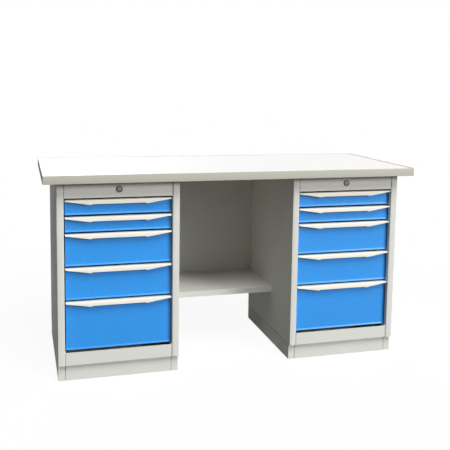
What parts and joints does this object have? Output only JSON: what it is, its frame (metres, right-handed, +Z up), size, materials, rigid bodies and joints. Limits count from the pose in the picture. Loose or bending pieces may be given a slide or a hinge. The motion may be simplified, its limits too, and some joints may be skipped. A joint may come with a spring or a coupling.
{
  "type": "teacher desk",
  "caption": "Double-pedestal steel desk with a laminated worktop, blue drawers with cream grips on telescopic slides, pedestal locks and a kneehole shelf.",
  "frame": {"origin": "on the floor, under the middle of the worktop", "axes": "+X across the desk to the right as seen from its front, -Y towards whoever sits at it, +Z up"},
  "size_m": [1.6, 0.66, 0.85],
  "materials": {
    "core_board": "raw chipboard",
    "laminate": "smooth white laminate",
    "lipping": "beige-grey edge band",
    "grey_enamel": "fine powder coat, light warm grey",
    "blue_enamel": "fine powder coat, bright blue",
    "handle_plastic": "satin cream white",
    "drawer_steel": "powder coat",
    "zinc_plate": "bright zinc plate",
    "lock_ring": "dark grey",
    "lock_barrel": "satin nickel"
  },
  "bodies": {
    "desk": {"worktop_board": "core_board", "worktop_laminate": "laminate", "worktop_lipping": "lipping", "kneehole_back_panel": "grey_enamel", "kneehole_shelf": "grey_enamel", "bottom_rails": "grey_enamel", "plinths": "grey_enamel", "slide_tracks": "zinc_plate", "lock_escutcheons": "lock_ring", "fasteners": "zinc_plate", "left_pedestal_sides": "grey_enamel", "left_pedestal_back": "grey_enamel", "left_pedestal_decks": "grey_enamel", "right_pedestal_sides": "grey_enamel", "right_pedestal_back": "grey_enamel", "right_pedestal_decks": "grey_enamel", "left_lock_rail": "grey_enamel", "right_lock_rail": "grey_enamel"},
    "left_drawer_1": {"left_drawer_1_box": "drawer_steel", "left_drawer_1_front": "blue_enamel", "left_drawer_1_handle": "handle_plastic"},
    "left_drawer_1_slides": {"left_drawer_1_slide_mid": "zinc_plate"},
    "left_drawer_2": {"left_drawer_2_box": "drawer_steel", "left_drawer_2_front": "blue_enamel", "left_drawer_2_handle": "handle_plastic"},
    "left_drawer_2_slides": {"left_drawer_2_slide_mid": "zinc_plate"},
    "left_drawer_3": {"left_drawer_3_box": "drawer_steel", "left_drawer_3_front": "blue_enamel", "left_drawer_3_handle": "handle_plastic"},
    "left_drawer_3_slides": {"left_drawer_3_slide_mid": "zinc_plate"},
    "left_drawer_4": {"left_drawer_4_box": "drawer_steel", "left_drawer_4_front": "blue_enamel", "left_drawer_4_handle": "handle_plastic"},
    "left_drawer_4_slides": {"left_drawer_4_slide_mid": "zinc_plate"},
    "left_drawer_5": {"left_drawer_5_box": "drawer_steel", "left_drawer_5_front": "blue_enamel", "left_drawer_5_handle": "handle_plastic"},
    "left_drawer_5_slides": {"left_drawer_5_slide_mid": "zinc_plate"},
    "right_drawer_1": {"right_drawer_1_box": "drawer_steel", "right_drawer_1_front": "blue_enamel", "right_drawer_1_handle": "handle_plastic"},
    "right_drawer_1_slides": {"right_drawer_1_slide_mid": "zinc_plate"},
    "right_drawer_2": {"right_drawer_2_box": "drawer_steel", "right_drawer_2_front": "blue_enamel", "right_drawer_2_handle": "handle_plastic"},
    "right_drawer_2_slides": {"right_drawer_2_slide_mid": "zinc_plate"},
    "right_drawer_3": {"right_drawer_3_box": "drawer_steel", "right_drawer_3_front": "blue_enamel", "right_drawer_3_handle": "handle_plastic"},
    "right_drawer_3_slides": {"right_drawer_3_slide_mid": "zinc_plate"},
    "right_drawer_4": {"right_drawer_4_box": "drawer_steel", "right_drawer_4_front": "blue_enamel", "right_drawer_4_handle": "handle_plastic"},
    "right_drawer_4_slides": {"right_drawer_4_slide_mid": "zinc_plate"},
    "right_drawer_5": {"right_drawer_5_box": "drawer_steel", "right_drawer_5_front": "blue_enamel", "right_drawer_5_handle": "handle_plastic"},
    "right_drawer_5_slides": {"right_drawer_5_slide_mid": "zinc_plate"},
    "left_lock": {"left_lock_cylinder": "lock_barrel"},
    "right_lock": {"right_lock_cylinder": "lock_barrel"}
  },
  "joints": [
    {"name": "left_drawer_1_slide", "type": "slide", "parent": "desk", "child": "left_drawer_1", "axis": [0, -1, 0], "range_m": [0, 0.45]},
    {"name": "left_drawer_1_mid_slide", "type": "slide", "parent": "desk", "child": "left_drawer_1_slides", "axis": [0, -1, 0], "range_m": [0, 0.225]},
    {"name": "left_drawer_2_slide", "type": "slide", "parent": "desk", "child": "left_drawer_2", "axis": [0, -1, 0], "range_m": [0, 0.45]},
    {"name": "left_drawer_2_mid_slide", "type": "slide", "parent": "desk", "child": "left_drawer_2_slides", "axis": [0, -1, 0], "range_m": [0, 0.225]},
    {"name": "left_drawer_3_slide", "type": "slide", "parent": "desk", "child": "left_drawer_3", "axis": [0, -1, 0], "range_m": [0, 0.45]},
    {"name": "left_drawer_3_mid_slide", "type": "slide", "parent": "desk", "child": "left_drawer_3_slides", "axis": [0, -1, 0], "range_m": [0, 0.225]},
    {"name": "left_drawer_4_slide", "type": "slide", "parent": "desk", "child": "left_drawer_4", "axis": [0, -1, 0], "range_m": [0, 0.45]},
    {"name": "left_drawer_4_mid_slide", "type": "slide", "parent": "desk", "child": "left_drawer_4_slides", "axis": [0, -1, 0], "range_m": [0, 0.225]},
    {"name": "left_drawer_5_slide", "type": "slide", "parent": "desk", "child": "left_drawer_5", "axis": [0, -1, 0], "range_m": [0, 0.45]},
    {"name": "left_drawer_5_mid_slide", "type": "slide", "parent": "desk", "child": "left_drawer_5_slides", "axis": [0, -1, 0], "range_m": [0, 0.225]},
    {"name": "right_drawer_1_slide", "type": "slide", "parent": "desk", "child": "right_drawer_1", "axis": [0, -1, 0], "range_m": [0, 0.45]},
    {"name": "right_drawer_1_mid_slide", "type": "slide", "parent": "desk", "child": "right_drawer_1_slides", "axis": [0, -1, 0], "range_m": [0, 0.225]},
    {"name": "right_drawer_2_slide", "type": "slide", "parent": "desk", "child": "right_drawer_2", "axis": [0, -1, 0], "range_m": [0, 0.45]},
    {"name": "right_drawer_2_mid_slide", "type": "slide", "parent": "desk", "child": "right_drawer_2_slides", "axis": [0, -1, 0], "range_m": [0, 0.225]},
    {"name": "right_drawer_3_slide", "type": "slide", "parent": "desk", "child": "right_drawer_3", "axis": [0, -1, 0], "range_m": [0, 0.45]},
    {"name": "right_drawer_3_mid_slide", "type": "slide", "parent": "desk", "child": "right_drawer_3_slides", "axis": [0, -1, 0], "range_m": [0, 0.225]},
    {"name": "right_drawer_4_slide", "type": "slide", "parent": "desk", "child": "right_drawer_4", "axis": [0, -1, 0], "range_m": [0, 0.45]},
    {"name": "right_drawer_4_mid_slide", "type": "slide", "parent": "desk", "child": "right_drawer_4_slides", "axis": [0, -1, 0], "range_m": [0, 0.225]},
    {"name": "right_drawer_5_slide", "type": "slide", "parent": "desk", "child": "right_drawer_5", "axis": [0, -1, 0], "range_m": [0, 0.45]},
    {"name": "right_drawer_5_mid_slide", "type": "slide", "parent": "desk", "child": "right_drawer_5_slides", "axis": [0, -1, 0], "range_m": [0, 0.225]},
    {"name": "left_lock_turn", "type": "hinge", "parent": "desk", "child": "left_lock", "pos_m": [-0.4985, -0.28, 0.787], "axis": [0, 1, 0], "range_deg": [0, 90]},
    {"name": "right_lock_turn", "type": "hinge", "parent": "desk", "child": "right_lock", "pos_m": [0.4985, -0.28, 0.787], "axis": [0, 1, 0], "range_deg": [0, 90]}
  ],
  "couplings": [
    {"joint": "left_drawer_1_mid_slide", "follows": "left_drawer_1_slide", "ratio": 0.5},
    {"joint": "left_drawer_2_mid_slide", "follows": "left_drawer_2_slide", "ratio": 0.5},
    {"joint": "left_drawer_3_mid_slide", "follows": "left_drawer_3_slide", "ratio": 0.5},
    {"joint": "left_drawer_4_mid_slide", "follows": "left_drawer_4_slide", "ratio": 0.5},
    {"joint": "left_drawer_5_mid_slide", "follows": "left_drawer_5_slide", "ratio": 0.5},
    {"joint": "right_drawer_1_mid_slide", "follows": "right_drawer_1_slide", "ratio": 0.5},
    {"joint": "right_drawer_2_mid_slide", "follows": "right_drawer_2_slide", "ratio": 0.5},
    {"joint": "right_drawer_3_mid_slide", "follows": "right_drawer_3_slide", "ratio": 0.5},
    {"joint": "right_drawer_4_mid_slide", "follows": "right_drawer_4_slide", "ratio": 0.5},
    {"joint": "right_drawer_5_mid_slide", "follows": "right_drawer_5_slide", "ratio": 0.5}
  ]
}
